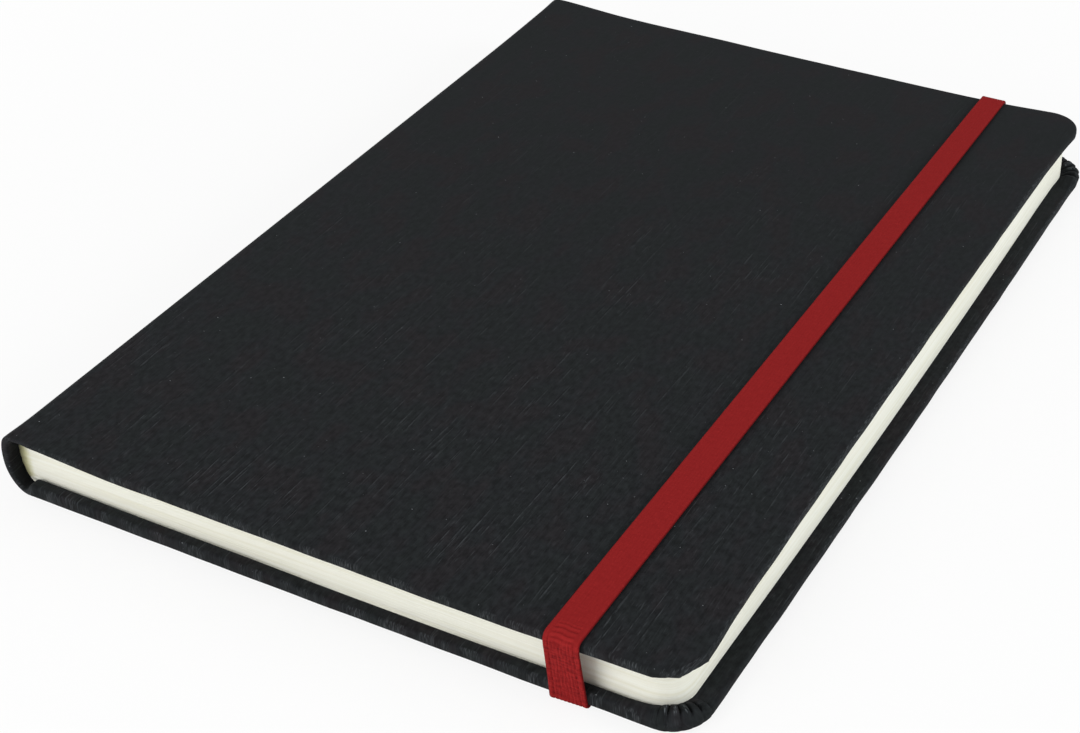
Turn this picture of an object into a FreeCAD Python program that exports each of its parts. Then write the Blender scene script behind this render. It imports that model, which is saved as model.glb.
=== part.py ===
import FreeCAD, Part
import math
import os

# A case-bound A5 watercolour sketchbook, closed, lying on its back cover, with its elastic band on.
# Millimetres. While it is built, x = 0 is the spine line, where the flat covers run out into the
# rounded spine, y = 0 is the middle of the leaves' height, and z = 0 is the surface it lies on.
# X runs from the spine to the fore edge, Y from the tail to the head, Z from the back cover up.

Vec = FreeCAD.Vector

# page block
leaf_w = 148.0  # spine line to fore edge
leaf_h = 210.0  # tail to head
pages_t = 10.6  # all the leaves together
leaf_corner_r = 7.5
endpaper_t = 0.15

# covers: board wrapped in cloth, the cloth turned in and glued down inside
board_t = 1.45
cloth_t = 0.35
square = 3.5  # how far a centred cover would stand out past the leaves
cover_corner_r = 8.3
edge_r = 0.5  # rounding of the cloth over the board's edge
turn_in = 12.0  # width of cloth glued down inside
joint_w = 6.0  # cloth without board, between the spine line and the board
front_skew_x = -0.9  # the case sits a little crooked on the block
front_skew_y = -0.4
back_skew_x = 0.9
back_skew_y = 0.7

# gathers of the turned-in cloth at a rounded corner
pleat_count = 5
pleat_len = 2.5
pleat_w = 0.8
pleat_h = 0.25

# spine: half an ellipse of layers round the rounded back of the block
spine_bulge = 3.95  # from the spine line to the outside of the cloth
fold_x = 2.1  # from the spine line back to the line where a cover folds
inlay_t = 0.3
mull_t = 0.15
inlay_margin = 0.6  # from the fold to the inlay's edge
mull_margin = 5.0  # from the block's tail and head to the mull's ends

# elastic band
elastic_w = 7.2
elastic_t = 0.8
elastic_inset = 20.0  # from the front cover's fore edge
elastic_bend_r = 0.4  # inside radius where it turns over an edge
slit_inset = 14.5  # from the back cover's tail and head edges to its slits
glued_end = 16.0  # of each end, under the back pastedown

# clearances
rest_gap = 0.05  # between faces that only lie on each other
fold_gap = 0.05  # each side of the cut in the cloth at a fold
fold_drop = 0.1  # of the fold line from halfway, so that an opened cover clears the spine
slit_gap = 0.1  # round the elastic in its slits and recesses

# levels, from the surface up
cover_t = 2 * cloth_t + board_t
back_z = elastic_t + rest_gap  # back cover's outer face
leaf_z = back_z + cover_t + 2 * endpaper_t + rest_gap  # lowest leaf
leaf_top_z = leaf_z + pages_t
front_z = leaf_top_z + 2 * endpaper_t + rest_gap + cover_t  # front cover's outer face
mid_z = (back_z + front_z) / 2
half_t = front_z - mid_z

# layers of the spine, as depths from the outside of its cloth
inlay_depth = cloth_t
lining_depth = inlay_depth + inlay_t  # the cloth turned in at the ends of the spine
mull_depth = lining_depth + cloth_t
block_depth = mull_depth + mull_t

# fold lines of the two covers
cut_rise = half_t * math.sqrt(1 - (fold_x / spine_bulge) ** 2)  # of the cut, from mid height
fold_rise = (half_t + cut_rise) / 2 + fold_drop
front_fold_z = mid_z + fold_rise
back_fold_z = mid_z - fold_rise

# edges of the two covers
front_fore = leaf_w + square + front_skew_x
back_fore = leaf_w + square + back_skew_x
front_tail = -leaf_h / 2 - square + front_skew_y
front_head = leaf_h / 2 + square + front_skew_y
back_tail = -leaf_h / 2 - square + back_skew_y
back_head = leaf_h / 2 + square + back_skew_y
spine_tail = (front_tail + back_tail) / 2
spine_head = (front_head + back_head) / 2

# place of the elastic
elastic_x1 = front_fore - elastic_inset
elastic_x0 = elastic_x1 - elastic_w
tail_slit_y = back_tail + slit_inset
head_slit_y = back_head - slit_inset

# middle of the whole book in x and y, which becomes its origin
low_y = min(front_tail, back_tail) - rest_gap - elastic_t
high_y = max(front_head, back_head) + rest_gap + elastic_t
origin = Vec((max(front_fore, back_fore) - spine_bulge) / 2, (low_y + high_y) / 2, 0)

far = leaf_w + leaf_h  # past every edge of the book, for cutting shapes


def box(x0, x1, y0, y1, z0, z1):
    return Part.makeBox(x1 - x0, y1 - y0, z1 - z0, Vec(x0, y0, z0))


def plate(x0, x1, y0, y1, z0, z1, r):
    """A flat sheet or board, square at the spine side and rounded at its two fore corners."""
    c = r * (1 - math.sqrt(0.5))
    tail = Part.Arc(Vec(x1 - r, y0, z0), Vec(x1 - c, y0 + c, z0), Vec(x1, y0 + r, z0))
    head = Part.Arc(Vec(x1, y1 - r, z0), Vec(x1 - c, y1 - c, z0), Vec(x1 - r, y1, z0))
    edges = [
        Part.LineSegment(Vec(x0, y0, z0), Vec(x1 - r, y0, z0)),
        tail,
        Part.LineSegment(Vec(x1, y0 + r, z0), Vec(x1, y1 - r, z0)),
        head,
        Part.LineSegment(Vec(x1 - r, y1, z0), Vec(x0, y1, z0)),
        Part.LineSegment(Vec(x0, y1, z0), Vec(x0, y0, z0)),
    ]
    wire = Part.Wire([e.toShape() for e in edges])
    return Part.Face(wire).extrude(Vec(0, 0, z1 - z0))


def tetrahedron(a, b, c, d):
    faces = [(a, b, c), (a, b, d), (b, c, d), (c, a, d)]
    shell = Part.makeShell([Part.Face(Part.makePolygon([p, q, r, p])) for p, q, r in faces])
    solid = Part.makeSolid(shell)
    return solid if solid.Volume > 0 else solid.reversed()


def spine_rod(depth, y0, y1):
    """The solid inside one layer of the spine: an elliptic rod along Y on the spine line."""
    centre = Vec(0, y0, mid_z)
    up = centre + Vec(0, 0, half_t - depth)
    out = centre + Vec(spine_bulge - depth, 0, 0)
    if half_t > spine_bulge:
        curve = Part.Ellipse(up, out, centre)
    else:
        curve = Part.Ellipse(out, up, centre)
    return Part.Face(Part.Wire(curve.toShape())).extrude(Vec(0, y1 - y0, 0))


def spine_layer(depth, thickness, y0, y1):
    """The outer, spine half of one layer of the spine."""
    ring = spine_rod(depth, y0, y1).cut(spine_rod(depth + thickness, y0, y1))
    return ring.common(box(-far, 0, y0, y1, -far, far))


def between(shape, z0, z1):
    return shape.common(box(-far, far, -far, far, z0, z1))


class Cover:
    """The measures of one cover, and levels counted as depths from its outer face."""

    def __init__(self, outer_z, up, skew_x, fore, tail, head):
        self.outer_z, self.up = outer_z, up
        self.board_x = joint_w + skew_x
        self.fore, self.tail, self.head = fore, tail, head

    def levels(self, d0, d1):
        return sorted((self.outer_z - self.up * d0, self.outer_z - self.up * d1))

    def box(self, x0, x1, y0, y1, d0, d1):
        return box(x0, x1, y0, y1, *self.levels(d0, d1))

    def board(self):
        d0, d1 = self.levels(cloth_t, cloth_t + board_t)
        return plate(
            self.board_x, self.fore - cloth_t, self.tail + cloth_t, self.head - cloth_t,
            d0, d1, cover_corner_r - cloth_t,
        )

    def inside_turn_ins(self, x0, d0, d1):
        """The region inside the turned-in strips of cloth."""
        return self.box(
            x0, self.fore - turn_in, self.tail + turn_in, self.head - turn_in, d0, d1
        )

    def cloth(self):
        z0, z1 = self.levels(0, cover_t)
        wrap = plate(0, self.fore, self.tail, self.head, z0, z1, cover_corner_r)
        rim = [
            e for e in wrap.Edges
            if abs(e.BoundBox.ZMax - e.BoundBox.ZMin) < edge_r and e.BoundBox.XMax > edge_r
        ]
        wrap = wrap.makeFillet(edge_r, rim)
        wrap = wrap.cut(self.board())
        wrap = wrap.cut(self.inside_turn_ins(-1, cloth_t + board_t, cover_t + 1))
        wrap = wrap.cut(
            self.box(-1, self.board_x, self.tail - 1, self.head + 1, 2 * cloth_t, cover_t + 1)
        )
        wrap = wrap.cut(
            self.box(
                -1, self.board_x, self.tail + turn_in, self.head - turn_in, cloth_t, cover_t
            )
        )
        shoulder = spine_layer(0, cloth_t, self.tail, self.head)
        cut_z = mid_z + self.up * (cut_rise + fold_gap)
        shoulder = between(shoulder, *sorted((cut_z, self.outer_z)))
        pleats = self.pleats(self.tail + cover_corner_r, -1)
        pleats += self.pleats(self.head - cover_corner_r, 1)
        return wrap.fuse([shoulder] + pleats).removeSplitter()

    def pleats(self, centre_y, way):
        """Gathers that fan round one fore corner: ridges that die away towards the leaves."""
        centre = Vec(self.fore - cover_corner_r, centre_y, self.outer_z - self.up * cover_t)
        inward = Vec(0, 0, -self.up)
        ridges = []
        for i in range(pleat_count):
            angle = math.radians(90 * (i + 0.5) / pleat_count)
            out = Vec(math.cos(angle), way * math.sin(angle), 0)
            across = out.cross(inward) * (pleat_w / 2)
            foot = centre + out * (cover_corner_r - edge_r) - inward * (cloth_t / 2)
            crest = foot + inward * (cloth_t / 2 + pleat_h)
            ridges.append(tetrahedron(foot - across, foot + across, crest, foot - out * pleat_len))
        return ridges

    def pastedown(self):
        """The glued half of an endpaper: it steps down from the turned-in cloth to the board."""
        z0, z1 = self.levels(cover_t, cover_t + endpaper_t)
        sheet = plate(0, leaf_w, -leaf_h / 2, leaf_h / 2, z0, z1, leaf_corner_r)
        top = cover_t + endpaper_t
        step = self.inside_turn_ins(self.board_x, cover_t - cloth_t, top)
        dip = self.box(
            self.board_x + endpaper_t, self.fore - turn_in - endpaper_t,
            self.tail + turn_in + endpaper_t, self.head - turn_in - endpaper_t,
            cover_t - cloth_t + endpaper_t, top + 1,
        )
        return sheet.fuse(step).cut(dip).removeSplitter()


front = Cover(front_z, 1, front_skew_x, front_fore, front_tail, front_head)
back = Cover(back_z, -1, back_skew_x, back_fore, back_tail, back_head)


def page_block():
    """The sewn leaves as one solid, with a rounded back."""
    leaves = plate(0, leaf_w, -leaf_h / 2, leaf_h / 2, leaf_z, leaf_top_z, leaf_corner_r)
    rounding = spine_rod(block_depth, -leaf_h / 2, leaf_h / 2)
    rounding = rounding.common(box(-far, 0, -far, far, leaf_z, leaf_top_z))
    return leaves.fuse(rounding).removeSplitter()


def flyleaf(z0):
    return plate(0, leaf_w, -leaf_h / 2, leaf_h / 2, z0, z0 + endpaper_t, leaf_corner_r)


def spine_mull():
    """The open-weave lining glued over the block's rounded back."""
    end = leaf_h / 2 - mull_margin
    return between(spine_layer(mull_depth, mull_t, -end, end), leaf_z, leaf_top_z)


def spine_inlay():
    """The strip of thin card that stiffens the spine of the case."""
    strip = spine_layer(inlay_depth, inlay_t, spine_tail + cloth_t, spine_head - cloth_t)
    reach = cut_rise - inlay_margin
    return between(strip, mid_z - reach, mid_z + reach)


def spine_cloth():
    """The cloth over the spine, folded over the inlay at the tail and the head."""
    skin = spine_layer(0, cloth_t, spine_tail, spine_head)
    folds = [
        spine_layer(lining_depth, cloth_t, spine_tail, spine_tail + turn_in),
        spine_layer(lining_depth, cloth_t, spine_head - turn_in, spine_head),
        spine_layer(inlay_depth, inlay_t, spine_tail, spine_tail + cloth_t),
        spine_layer(inlay_depth, inlay_t, spine_head - cloth_t, spine_head),
    ]
    reach = cut_rise - fold_gap
    return between(skin.fuse(folds), mid_z - reach, mid_z + reach).removeSplitter()


def slit(y, way):
    """The cut through the back cover for one end of the elastic, and the end's recess."""
    half = elastic_t / 2 + slit_gap
    x0, x1 = elastic_x0 - slit_gap, elastic_x1 + slit_gap
    inner = cloth_t + board_t
    through = back.box(x0, x1, y - half, y + half, -1, inner)
    y0, y1 = sorted((y, y + way * (glued_end + slit_gap)))
    recess = back.box(x0, x1, y0, y1, inner - elastic_t - rest_gap, inner)
    return through.fuse(recess)


def convex_side(points):
    """The end points of one side of the elastic, with those between that it is pulled over."""
    a, b = points[0], points[-1]
    along = (b - a).normalize()
    kept = [a]
    for p in points[1:-1]:
        if (p - a).cross(along).x > rest_gap / 2:
            kept.append(p)
    return kept + [b]


def elastic_loop():
    """The face of the band as a closed loop round both covers, in the plane x = elastic_x0."""
    low, high = back_z - rest_gap, front_z + rest_gap
    x = elastic_x0
    tail_y, back_tail_y = front_tail - rest_gap, back_tail - rest_gap
    head_y, back_head_y = front_head + rest_gap, back_head + rest_gap
    tail = convex_side([
        Vec(x, tail_y, high), Vec(x, tail_y, front_z - cover_t),
        Vec(x, back_tail_y, back_z + cover_t), Vec(x, back_tail_y, low),
    ])
    head = convex_side([
        Vec(x, back_head_y, low), Vec(x, back_head_y, back_z + cover_t),
        Vec(x, head_y, front_z - cover_t), Vec(x, head_y, high),
    ])
    ring = tail + head
    inner = Part.Face(Part.makePolygon(ring + ring[:1]))
    inner = inner.makeOffset2D(-elastic_bend_r).makeOffset2D(elastic_bend_r)
    return inner.makeOffset2D(elastic_t).cut(inner)


def elastic_band():
    """One woven strip: out of a slit, round both covers and in at the other slit."""
    loop = elastic_loop().extrude(Vec(elastic_w, 0, 0))
    x0, x1 = elastic_x0, elastic_x1
    loop = loop.cut(box(x0 - 1, x1 + 1, tail_slit_y, head_slit_y, -1, back_z))
    inner_z = back_z + cloth_t + board_t
    pieces = []
    for y, way in ((tail_slit_y, 1), (head_slit_y, -1)):
        pieces.append(box(x0, x1, y - elastic_t / 2, y + elastic_t / 2, 0, inner_z))
        y0, y1 = sorted((y, y + way * glued_end))
        pieces.append(box(x0, x1, y0, y1, inner_z - elastic_t, inner_z))
    return loop.fuse(pieces).removeSplitter()


def build():
    slits = slit(tail_slit_y, 1).fuse(slit(head_slit_y, -1))
    return {
        "page_block": page_block(),
        "front_flyleaf": flyleaf(leaf_top_z),
        "back_flyleaf": flyleaf(leaf_z - endpaper_t),
        "spine_mull": spine_mull(),
        "spine_inlay": spine_inlay(),
        "spine_cloth": spine_cloth(),
        "front_board": front.board(),
        "front_cloth": front.cloth(),
        "front_pastedown": front.pastedown(),
        "back_board": back.board().cut(slits),
        "back_cloth": back.cloth().cut(slits),
        "back_pastedown": back.pastedown(),
        "elastic_band": elastic_band(),
    }


os.makedirs("parts", exist_ok=True)
nodes = build()
for name, shape in nodes.items():
    shape.translate(origin.negative())
    shape.exportStep(f"parts/{name}.step")
    print(name, len(shape.Solids), "solid", shape.isValid(), round(shape.Volume, 1), "mm3")
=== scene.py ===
import math

import bpy
import numpy as np
from mathutils import Matrix, Vector


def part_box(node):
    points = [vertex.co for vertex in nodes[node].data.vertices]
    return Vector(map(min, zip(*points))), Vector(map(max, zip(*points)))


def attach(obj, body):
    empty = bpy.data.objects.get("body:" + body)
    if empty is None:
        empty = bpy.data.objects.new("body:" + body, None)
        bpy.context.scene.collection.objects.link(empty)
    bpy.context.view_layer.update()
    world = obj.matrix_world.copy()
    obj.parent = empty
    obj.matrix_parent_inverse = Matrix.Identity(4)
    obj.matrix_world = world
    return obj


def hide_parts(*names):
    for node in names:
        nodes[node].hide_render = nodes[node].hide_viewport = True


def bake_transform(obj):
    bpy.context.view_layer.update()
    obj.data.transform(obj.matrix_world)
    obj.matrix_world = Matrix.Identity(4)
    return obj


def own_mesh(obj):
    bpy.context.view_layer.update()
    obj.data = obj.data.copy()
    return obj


# A closed A5 watercolour sketchbook in charcoal book cloth, held shut by a red elastic.
# Shapes are worked out in millimetres and put into metres as they go into a mesh.
# X runs from the spine to the fore edge, Y from the tail to the head, Z up.

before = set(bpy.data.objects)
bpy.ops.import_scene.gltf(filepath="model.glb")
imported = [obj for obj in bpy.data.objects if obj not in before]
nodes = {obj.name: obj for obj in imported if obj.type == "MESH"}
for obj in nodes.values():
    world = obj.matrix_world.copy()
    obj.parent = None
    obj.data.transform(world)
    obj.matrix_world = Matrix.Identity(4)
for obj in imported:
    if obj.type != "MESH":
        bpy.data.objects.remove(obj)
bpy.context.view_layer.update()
mm = 0.001
tiny = 1e-9
quarter = math.pi / 2
print("frame loaded:", len(nodes), "nodes")


# A node's lowest and highest corner in millimetres
def corners(node):
    low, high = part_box(node)
    return np.array(low) / mm, np.array(high) / mm


# Eases from 0 to 1 over the span after start: three u squared less two u cubed, u being the share of it
def ease(t, start=0.0, span=1.0):
    u = np.clip((t - start) / span, 0, 1)
    return u * u * (3 - 2 * u)


# From a to b by a share of the way
def mixed(a, b, share):
    return a + (b - a) * share


# A bell curve round a place: e to the minus distance squared over twice the reach squared
def bell(x, y, atX, atY, reach):
    return np.exp(-((x - atX) ** 2 + (y - atY) ** 2) / (2 * reach ** 2))


# A parabola, 1 in the middle and 0 from the reach on
def arch(t, reach):
    return np.clip(1 - (t / reach) ** 2, 0, None)


# Length along a line of points, from its first one
def lengthAlong(points):
    return np.append(0, np.cumsum(np.linalg.norm(np.diff(points, axis=0), axis=1)))


# Grid lines from start to end about step apart, with the lines in extra put among them
def lines(start, end, step, extra=()):
    even = np.linspace(start, end, round((end - start) / step) + 1)
    extra = np.array([v for v in extra if start < v < end], float)
    if len(extra):
        near = np.abs(even[:, None] - extra).min(axis=1) < step * 0.4
        near[[0, -1]] = False
        even = even[~near]
    return np.unique(np.append(even, extra))


# The same, with finer lines through the corner squares of side r: one at the end, or one at both ends
def cornered(start, end, r, step, extra=(), both=False):
    arc = r * np.linspace(0, 1, 9)
    if both:
        return np.concatenate([start + arc, lines(start + r, end - r, step, extra)[1:-1], end - r + arc])
    return np.append(lines(start, end - r, step, extra), end - r + arc[1:])


# Turns the two fore corner squares of a grid into quarter discs: the larger of a point's two coordinates
# in the square becomes its radius, and their ratio its angle
def roundCorners(x, y, fore, tail, head, r):
    a = np.clip((x - fore + r) / r, 0, None)
    for edge, way in ((tail, -1), (head, 1)):
        b = np.clip(way * (y - edge) / r + 1, 0, None)
        big, small = np.maximum(a, b), np.minimum(a, b)
        turn = quarter / 2 * small / np.maximum(big, tiny)
        angle = np.where(a >= b, turn, quarter - turn)
        inside = (a > 0) & (b > 0)
        x = np.where(inside, fore - r + r * big * np.cos(angle), x)
        y = np.where(inside, edge - way * r + way * r * big * np.sin(angle), y)
    return x, y


# The outline of a grid: along the tail, up the fore edge, back along the head, and if closed down the spine
def border(grid, closed=False):
    parts = [grid[:, 0], grid[-1, 1:], grid[-2::-1, -1]]
    if closed:
        parts.append(grid[0, -2:0:-1])
    return np.concatenate(parts)


# Four corners for each cell of a grid of vertex numbers
def quads(index):
    cells = [index[:-1, :-1], index[1:, :-1], index[1:, 1:], index[:-1, 1:]]
    return np.stack(cells, -1).reshape(-1, 4)


# A sheet or slab: a top grid, rings that carry its outline down over the edge, and perhaps a bottom grid.
# A hole is the cells that are left out of the top.
def slab(top, rings, bottom=None, closed=False, hole=None):
    index = np.arange(top.shape[0] * top.shape[1]).reshape(top.shape[:2])
    loop = border(index, closed)
    points, faces = [top.reshape(-1, top.shape[2])], [quads(index)]
    if hole is not None:
        faces[0] = faces[0][~hole.reshape(-1)]
    count = index.size
    band = np.vstack([loop[None], count + np.arange(len(rings) * len(loop)).reshape(len(rings), len(loop))])
    if len(rings):
        points.append(np.reshape(rings, (-1, top.shape[2])))
        count += len(rings) * len(loop)
    if bottom is not None:
        under = count + index
        points.append(bottom.reshape(-1, top.shape[2]))
        faces.append(quads(under)[:, ::-1])
        band = np.vstack([band, border(under, closed)[None]])
    if closed:
        band = np.column_stack([band, band[:, 0]])
    faces.append(quads(band))
    return np.concatenate(points), np.concatenate(faces)


# Puts points in millimetres and faces into a new object; extras are numbers kept at each point
def putMesh(name, points, faces, material, extras=None, flip=False):
    mesh = bpy.data.meshes.new(name)
    mesh.from_pydata(points[:, :3] * mm, [], faces[:, ::-1] if flip else faces)
    mesh.polygons.foreach_set("use_smooth", np.ones(len(mesh.polygons), bool))
    for key, values in (extras or {}).items():
        kind, field = ("FLOAT", "value") if np.ndim(values) == 1 else ("FLOAT_VECTOR", "vector")
        mesh.attributes.new(key, kind, "POINT").data.foreach_set(field, values.astype(np.float32).ravel())
    mesh.materials.append(material)
    mesh.update()
    piece = bpy.data.objects.new(name, mesh)
    bpy.context.scene.collection.objects.link(piece)
    return piece


# An sRGB hex colour as linear light
def linear(code):
    values = [int(code[i:i + 2], 16) / 255 for i in (1, 3, 5)]
    return (*[v / 12.92 if v <= 0.04045 else ((v + 0.055) / 1.055) ** 2.4 for v in values], 1)


# Adds one shader node: settings are its own fields or the values of its sockets, links say what feeds a
# socket, as a node, whose first output it is, or as a node and the output's name
def addNode(tree, kind, settings=None, links=None):
    node = tree.nodes.new("ShaderNode" + kind)
    for key, value in (settings or {}).items():
        if isinstance(key, int) or key in node.inputs:
            node.inputs[key].default_value = value
        elif key == "stops":
            ramp = node.color_ramp
            while len(ramp.elements) < len(value):
                ramp.elements.new(0.5)
            for element, (position, colour) in zip(ramp.elements, value):
                element.position, element.color = position, linear(colour)
        else:
            setattr(node, key, value)
    for key, source in (links or {}).items():
        source, output = source if isinstance(source, tuple) else (source, 0)
        tree.links.new(source.outputs[output], node.inputs[key])
    return node


# A new material with an empty node tree
def newMaterial(name):
    material = bpy.data.materials.new(name)
    material.use_nodes = True
    material.node_tree.nodes.clear()
    return material, material.node_tree


# Ends a material: the relief in millimetres under a surface with the look's own finish
def finishSurface(tree, look, colour, height):
    strength, deep = look["relief"]
    bump = addNode(tree, "Bump", {"Strength": strength, "Distance": deep * mm}, {"Height": height})
    shader = addNode(tree, "BsdfPrincipled", look["finish"], {"Base Color": colour, "Normal": bump})
    addNode(tree, "OutputMaterial", None, {"Surface": shader})


# The noises of a woven piece and what is worked out from them, kept by name in value, which already has
# the place on the piece. A pattern is noise in two dimensions stretched to its real size and moved aside
# by so many of its widths, a cut stretches a noise so that it fills 0 to 1, and a sum is an operation on
# what is named, or on numbers.
def weave(tree, look, value):
    for key, (across, along, detail, aside) in look["patterns"].items():
        stretch = {"Location": (aside, 0, 0), "Scale": (1 / across, 1 / along, 1)}
        scaled = addNode(tree, "Mapping", stretch, {"Vector": value["place"]})
        grain = {"noise_dimensions": "2D", "Scale": 1.0, "Detail": detail, "Roughness": 0.55}
        value[key] = addNode(tree, "TexNoise", grain, {"Vector": scaled})
    for key, (low, high) in look["cuts"].items():
        value[key] = addNode(tree, "MapRange", {"From Min": low, "From Max": high}, {"Value": value[key]})
    for key, operation, *terms in look["sums"]:
        numbers = {i: term for i, term in enumerate(terms) if not isinstance(term, str)}
        named = {i: value[term] for i, term in enumerate(terms) if isinstance(term, str)}
        value[key] = addNode(tree, "Math", {"operation": operation} | numbers, named)


clothLook = {
    "ground": ((0.36, "#1D2021"), (0.5, "#1E2022"), (0.64, "#201F21")),  # cool, plain and warm
    "raised": "#55595C",  # a slub, or a rubbed thread
    "sunk": "#101113",  # the gap beside a slub, and the painted shade in the pleats' grooves and inside the spine's ends
    "speck": "#83878A",
    # Each pattern's width across the threads and its length along them in millimetres, its detail, and how
    # far it is moved aside. Real threads are 0.25 mm apart and are drawn a little coarser so that they show.
    "patterns": {
        "threads": (0.38, 5.0, 2.0, 0.0),
        "slubs": (0.55, 21.0, 1.5, 0.0),
        "gaps": (0.55, 21.0, 1.5, 0.5),  # a slub's own pattern, half a thread over
        "dashes": (0.5, 3.6, 1.5, 0.0),
        "breaks": (0.9, 2.6, 2.0, 0.0),
        "pebbles": (1.3, 1.7, 4.0, 0.0),
        "thicket": (17.0, 30.0, 2.0, 0.0),  # where slubs are many
        "tint": (8.0, 13.0, 2.0, 0.0),
        "hairs": (0.17, 1.5, 1.0, 0.0),
        "tufts": (4.2, 60.0, 1.5, 0.0),
        "specks": (0.9, 0.6, 1.0, 0.0),
    },
    "cuts": {
        "slubs": (0.65, 0.72), "gaps": (0.65, 0.75), "dashes": (0.62, 0.8), "breaks": (0.36, 0.6),
        "thicket": (0.4, 0.66), "hairs": (0.52, 0.68), "tufts": (0.42, 0.6), "specks": (0.85, 0.885),
    },
    # The wear attribute says how worn the cloth is, above 1 where threads stand out as fluff; below 0 it is
    # painted shade, in the pleats' grooves and inside the spine's ends
    "sums": (
        ("relief", "MULTIPLY_ADD", "threads", 0.5, "pebbles"),
        ("crowded", "MULTIPLY_ADD", "thicket", 0.75, 0.3),
        ("crowd", "MULTIPLY", "crowded", "slubby"),
        ("broken", "MULTIPLY", "breaks", "crowd"),
        ("long", "MULTIPLY", "slubs", "broken"),
        ("short", "MULTIPLY", "dashes", "broken"),
        ("lower", "MULTIPLY", "short", 0.8),
        ("raised", "MAXIMUM", "long", "lower"),
        ("beside", "MULTIPLY", "gaps", "crowd"),
        ("gap", "MULTIPLY", "beside", 0.6),
        # painted shade: below 0 the wear attribute draws the cloth towards the sunk colour
        ("fold", "MULTIPLY", "rub", -0.85),
        ("dark", "MAXIMUM", "gap", "fold"),
        ("fluff", "SUBTRACT", "rub", 1.0),
        ("tufted", "MAXIMUM", "tufts", "fluff"),
        ("worn", "MAXIMUM", "rub", 0.0),
        ("hairy", "MULTIPLY", "hairs", "tufted"),
        ("rubbedHairs", "MULTIPLY", "hairy", "worn"),
        ("ends", "MULTIPLY", "rubbedHairs", 0.55),
        ("slubLight", "MULTIPLY", "raised", 0.31),
        ("light", "MAXIMUM", "slubLight", "ends"),
        ("height", "MULTIPLY_ADD", "raised", 0.8, "relief"),
    ),
    "shades": {"From Min": 0.5, "From Max": 1.0, "To Min": 0.62, "To Max": 1.38},  # by the relief
    # From the tail's fore corner, full of slubs, to the smooth head: where along Y, less a share of X
    "slubby": {"From Min": -125.0, "From Max": 35.0, "To Min": 1.0, "To Max": 0.2},
    "slubbyTilt": -0.4,
    "relief": (0.5, 0.1),
    "finish": {"Roughness": 0.84, "Specular IOR Level": 0.08, "Sheen Weight": 0.02, "Sheen Roughness": 0.5},
}


# Book cloth: dyed rayon in plain weave, backed with paper. A slub, which is a thick place in a thread, lies
# here and there along the spine's direction, the face is matt with hardly any sheen, and where it is turned
# over a board's edge the ends of rubbed threads show lighter. Painted shade darkens it in the pleats'
# grooves at the fore corners and inside the spine's ends.
def bookCloth():
    look = clothLook
    material, tree = newMaterial("BookClothCharcoal")
    place = (addNode(tree, "Attribute", {"attribute_name": "clothPlace"}), "Vector")
    rub = (addNode(tree, "Attribute", {"attribute_name": "rubbed"}), "Fac")
    split = addNode(tree, "SeparateXYZ", None, {"Vector": place})
    tilted = {"operation": "MULTIPLY_ADD", 1: look["slubbyTilt"]}
    up = addNode(tree, "Math", tilted, {0: (split, "X"), 2: (split, "Y")})
    slubby = addNode(tree, "MapRange", look["slubby"], {"Value": up})
    value = {"place": place, "rub": rub, "slubby": slubby}
    weave(tree, look, value)

    hue = addNode(tree, "ValToRGB", {"stops": look["ground"]}, {"Fac": value["tint"]})
    shade = addNode(tree, "MapRange", look["shades"], {"Value": value["relief"]})
    shaded = {"data_type": "RGBA", "blend_type": "MULTIPLY"}
    colour = addNode(tree, "Mix", shaded, {"A": hue, "B": shade, "Factor": value["slubby"]})
    for key, share in (("sunk", "dark"), ("raised", "light"), ("speck", "specks")):
        over = {"data_type": "RGBA", "B": linear(look[key])}
        colour = addNode(tree, "Mix", over, {"A": (colour, "Result"), "Factor": value[share]})
    finishSurface(tree, look, (colour, "Result"), value["height"])
    return material


leafLook = {
    "paper": ((0.3, "#E6E4D2"), (0.5, "#ECEBDE"), (0.68, "#EFEFE4")),
    "glued": "#D9D596",  # painted yellow-green shade at the back of the leaves by the spine, where less light gets in
    "gluedX": (-73.2, -75.0, 0.75),  # from where to where it gets stronger, and how strong
    "spineShadeRagged": 1.5,
    "streak": (45.0, 0.672),  # length of even colour, and thickness, coarser than a leaf's real 0.28
    "fibreMm": 0.5,
    "fibres": 0.5,  # their share of the relief
    "relief": (0.5, 0.05),
    "finish": {"Roughness": 0.9, "Specular IOR Level": 0.3},
}


# Cut edges of uncoated rag watercolour paper: a matt cream stack with a fine line at each leaf, with painted
# yellow-green shade at the back by the spine, where less light gets in.
def leafEdges():
    look = leafLook
    material, tree = newMaterial("RagPaperCutEdges")
    place = (addNode(tree, "TexCoord"), "Object")
    long, thick = look["streak"]
    stretch = {"Scale": (1 / (long * mm), 1 / (long * mm), 1 / (thick * mm))}
    scaled = addNode(tree, "Mapping", stretch, {"Vector": place})
    streaks = addNode(tree, "TexNoise", {"Scale": 1.0, "Detail": 3.0, "Roughness": 0.6}, {"Vector": scaled})
    fine = {"Scale": 1 / (look["fibreMm"] * mm), "Detail": 2.0}
    fibre = addNode(tree, "TexNoise", fine, {"Vector": place})
    paper = addNode(tree, "ValToRGB", {"stops": look["paper"]}, {"Fac": streaks})
    split = addNode(tree, "SeparateXYZ", None, {"Vector": place})
    # Painted shade: the leaves turn yellow-green towards the spine, along a ragged line
    uneven = {"operation": "MULTIPLY_ADD", 1: look["spineShadeRagged"] * mm}
    ragged = addNode(tree, "Math", uneven, {0: streaks, 2: (split, "X")})
    first, last, strong = look["gluedX"]
    shadeSpan = {"From Min": first * mm, "From Max": last * mm, "To Max": strong}
    shadeShare = addNode(tree, "MapRange", shadeSpan, {"Value": ragged})
    shadeMix = {"data_type": "RGBA", "B": linear(look["glued"])}
    colour = addNode(tree, "Mix", shadeMix, {"A": paper, "Factor": shadeShare})
    height = addNode(tree, "Math", {"operation": "MULTIPLY_ADD", 1: look["fibres"]}, {0: fibre, 2: streaks})
    finishSurface(tree, look, (colour, "Result"), height)
    return material


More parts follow.
